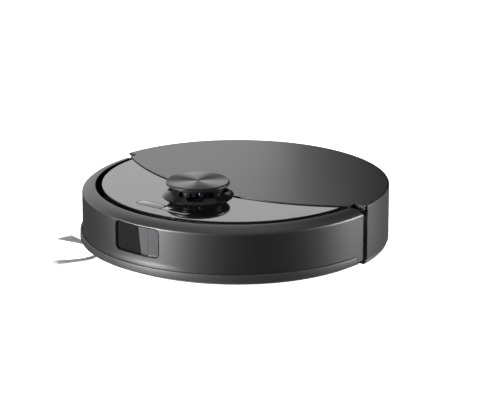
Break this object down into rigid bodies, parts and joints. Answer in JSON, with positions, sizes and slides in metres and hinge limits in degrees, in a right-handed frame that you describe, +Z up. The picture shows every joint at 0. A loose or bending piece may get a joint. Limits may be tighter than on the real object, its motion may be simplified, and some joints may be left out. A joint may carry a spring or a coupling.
{
  "type": "robot vacuum",
  "caption": "Low round robot vacuum with a laser turret, sprung front bumper, side brush, roller brush, sprung drive wheels and a lift-off lid over its dustbin.",
  "frame": {"origin": "on the floor, under the middle of the overall box at rest", "axes": "+Z up, -Y the way the robot drives forward, +X the robot's left side"},
  "size_m": [0.3555, 0.356, 0.0955],
  "materials": {
    "chassis_plastic": "moulded, fine texture",
    "shell_plastic": "satin",
    "lid_plastic": "soft matte",
    "panel_gloss": "polished black",
    "bumper_plastic": "satin",
    "lip_rubber": "matte",
    "black_gloss": "polished black",
    "window_glass": "smoked",
    "lens_glass": "coated",
    "cap_metal": "spun, dark anodised",
    "inner_plastic": "moulded",
    "motor_steel": "satin",
    "brass": "turned",
    "board_green": "solder mask",
    "guard_plastic": "moulded",
    "brush_rubber": "flexible fins",
    "bristle": "fine filaments",
    "hub_plastic": "moulded",
    "tyre_rubber": "treaded",
    "caster_plastic": "smooth",
    "bin_plastic": "translucent smoke",
    "filter_paper": "pleated",
    "seal_rubber": "soft",
    "impeller_plastic": "moulded",
    "battery_wrap": "shrink wrapped",
    "contact_metal": "plated",
    "screw_steel": "zinc"
  },
  "bodies": {
    "robot": {"chassis": "chassis_plastic", "rear_shell": "shell_plastic", "deck": "chassis_plastic", "front_panel": "panel_gloss", "bumper_switches": "inner_plastic", "camera_module": "inner_plastic", "camera_lens": "lens_glass", "line_lasers": "brass", "turret_skirt": "black_gloss", "turret_posts": "black_gloss", "turret_cap": "cap_metal", "lidar_base": "inner_plastic", "lidar_motor": "motor_steel", "lidar_belt": "seal_rubber", "button_board": "board_green", "brush_housing": "inner_plastic", "brush_guard": "guard_plastic", "brush_bearings": "motor_steel", "main_brush_motor": "motor_steel", "side_brush_motor": "motor_steel", "wheel_housings": "inner_plastic", "caster_cup": "inner_plastic", "dust_seal": "seal_rubber", "fan_housing": "inner_plastic", "fan_motor": "motor_steel", "battery": "battery_wrap", "main_board": "board_green", "speaker": "inner_plastic", "contact_block": "black_gloss", "charging_contacts": "contact_metal", "exhaust_vents": "black_gloss", "cliff_sensors": "lens_glass", "base_screws": "screw_steel"},
    "bumper": {"bumper": "bumper_plastic", "bumper_lip": "lip_rubber", "window_frame": "black_gloss", "window_glass": "window_glass"},
    "button_left": {"button_left": "panel_gloss"},
    "button_right": {"button_right": "panel_gloss"},
    "lidar_head": {"lidar_head": "black_gloss", "lidar_lens": "lens_glass"},
    "lidar_pulley": {"lidar_motor_pulley": "brass"},
    "main_brush": {"main_brush_core": "hub_plastic", "main_brush_fins": "brush_rubber"},
    "side_brush": {"side_brush_hub": "hub_plastic", "side_brush_bundles": "bristle"},
    "wheel_arm_left": {"wheel_arm_left": "inner_plastic"},
    "wheel_left": {"wheel_hub_left": "hub_plastic", "tyre_left": "tyre_rubber"},
    "wheel_arm_right": {"wheel_arm_right": "inner_plastic"},
    "wheel_right": {"wheel_hub_right": "hub_plastic", "tyre_right": "tyre_rubber"},
    "caster_swivel": {"caster_fork": "hub_plastic"},
    "caster_wheel": {"caster_wheel": "caster_plastic"},
    "fan": {"fan_impeller": "impeller_plastic"},
    "lid": {"lid": "lid_plastic"},
    "dustbin": {"dustbin": "bin_plastic", "dustbin_cover": "inner_plastic", "dust_filter": "filter_paper"}
  },
  "joints": [
    {"name": "bumper_push", "type": "slide", "parent": "robot", "child": "bumper", "axis": [0, 1, 0], "range_m": [0, 0.0045], "stiffness_N_per_m": 400, "springref_m": -0.002},
    {"name": "button_left_press", "type": "slide", "parent": "robot", "child": "button_left", "axis": [0, 0, -1], "range_m": [0, 0.0008], "stiffness_N_per_m": 600, "springref_m": -0.0006},
    {"name": "button_right_press", "type": "slide", "parent": "robot", "child": "button_right", "axis": [0, 0, -1], "range_m": [0, 0.0008], "stiffness_N_per_m": 600, "springref_m": -0.0006},
    {"name": "lidar_spin", "type": "hinge", "parent": "robot", "child": "lidar_head", "pos_m": [0, -0.065, 0.085], "axis": [0, 0, 1], "continuous": true},
    {"name": "lidar_pulley_spin", "type": "hinge", "parent": "robot", "child": "lidar_pulley", "pos_m": [0.048, -0.065, 0.065], "axis": [0, 0, 1], "continuous": true},
    {"name": "main_brush_spin", "type": "hinge", "parent": "robot", "child": "main_brush", "pos_m": [0, -0.018, 0.0242], "axis": [1, 0, 0], "continuous": true},
    {"name": "side_brush_spin", "type": "hinge", "parent": "robot", "child": "side_brush", "pos_m": [-0.099, -0.1115, 0.01], "axis": [0, 0, 1], "continuous": true},
    {"name": "suspension_left", "type": "hinge", "parent": "robot", "child": "wheel_arm_left", "pos_m": [0.091, -0.02, 0.047], "axis": [-1, 0, 0], "range_deg": [0, 25], "stiffness_Nm_per_rad": 0.15, "springref_deg": 51.57},
    {"name": "wheel_left_spin", "type": "hinge", "parent": "wheel_arm_left", "child": "wheel_left", "pos_m": [0.114, 0.014, 0.035], "axis": [1, 0, 0], "continuous": true},
    {"name": "suspension_right", "type": "hinge", "parent": "robot", "child": "wheel_arm_right", "pos_m": [-0.091, -0.02, 0.047], "axis": [-1, 0, 0], "range_deg": [0, 25], "stiffness_Nm_per_rad": 0.15, "springref_deg": 51.57},
    {"name": "wheel_right_spin", "type": "hinge", "parent": "wheel_arm_right", "child": "wheel_right", "pos_m": [-0.114, 0.014, 0.035], "axis": [1, 0, 0], "continuous": true},
    {"name": "caster_turn", "type": "hinge", "parent": "robot", "child": "caster_swivel", "pos_m": [0, -0.118, 0.038], "axis": [0, 0, 1], "continuous": true},
    {"name": "caster_roll", "type": "hinge", "parent": "caster_swivel", "child": "caster_wheel", "pos_m": [0, -0.113, 0.014], "axis": [1, 0, 0], "continuous": true},
    {"name": "fan_spin", "type": "hinge", "parent": "robot", "child": "fan", "pos_m": [-0.052, 0.122, 0.038], "axis": [0, 0, 1], "continuous": true},
    {"name": "lid_lift", "type": "slide", "parent": "robot", "child": "lid", "axis": [0, 0, 1], "range_m": [0, 0.16]},
    {"name": "dustbin_lift", "type": "slide", "parent": "robot", "child": "dustbin", "axis": [0, 0, 1], "range_m": [0, 0.08]}
  ],
  "couplings": [
    {"joint": "lidar_pulley_spin", "follows": "lidar_spin", "ratio": 4.9},
    {"joint": "dustbin_lift", "follows": "lid_lift", "ratio": 0.5}
  ]
}
